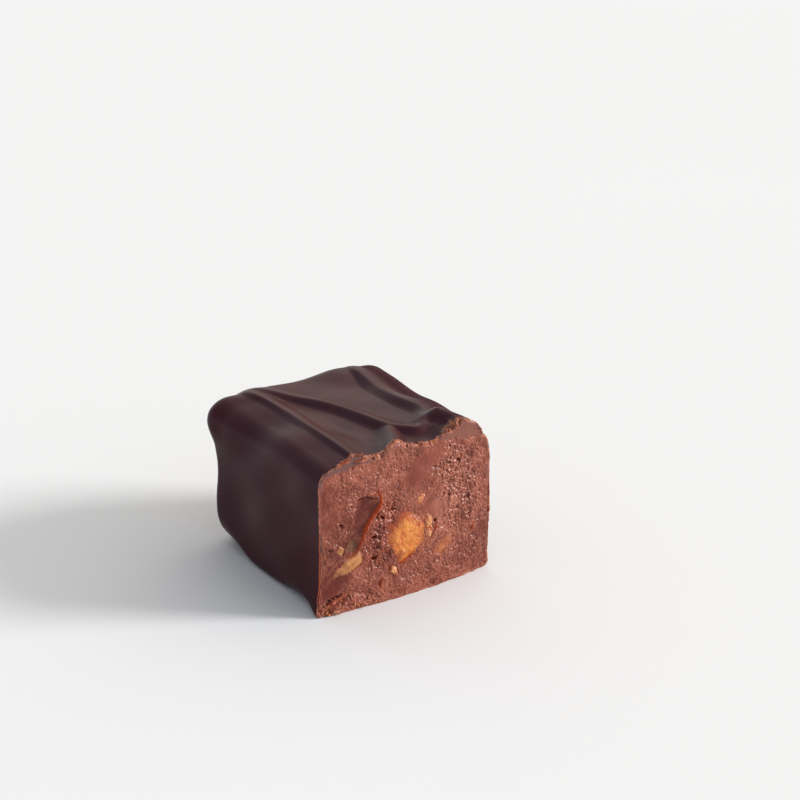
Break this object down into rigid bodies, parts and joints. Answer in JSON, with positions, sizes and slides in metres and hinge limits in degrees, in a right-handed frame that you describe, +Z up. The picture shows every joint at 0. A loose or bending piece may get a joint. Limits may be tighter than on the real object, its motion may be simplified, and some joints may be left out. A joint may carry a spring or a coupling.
{
  "type": "cut half of a dark chocolate with walnuts",
  "caption": "Cut half of a small dark chocolate: a fudgy brown filling with walnut pieces showing at the cut, in a thin dark coating with drizzled threads on top.",
  "frame": {"origin": "on the table, under the middle of the piece", "axes": "+Y from the cut face to the rounded back end, +X to the right seen from the cut face, +Z up"},
  "size_m": [0.026, 0.0268, 0.0209],
  "materials": {
    "dark_chocolate": "satin",
    "chocolate_fudge": "matte, fine grained",
    "walnut": "matte"
  },
  "bodies": {
    "root": {"coating": "dark_chocolate", "filling": "chocolate_fudge", "walnut_chunk": "walnut", "walnut_sliver_left": "walnut", "walnut_sliver_right": "walnut", "walnut_chip_1": "walnut", "walnut_chip_2": "walnut", "walnut_chip_3": "walnut", "walnut_chip_4": "walnut", "walnut_chip_5": "walnut"}
  },
  "joints": []
}
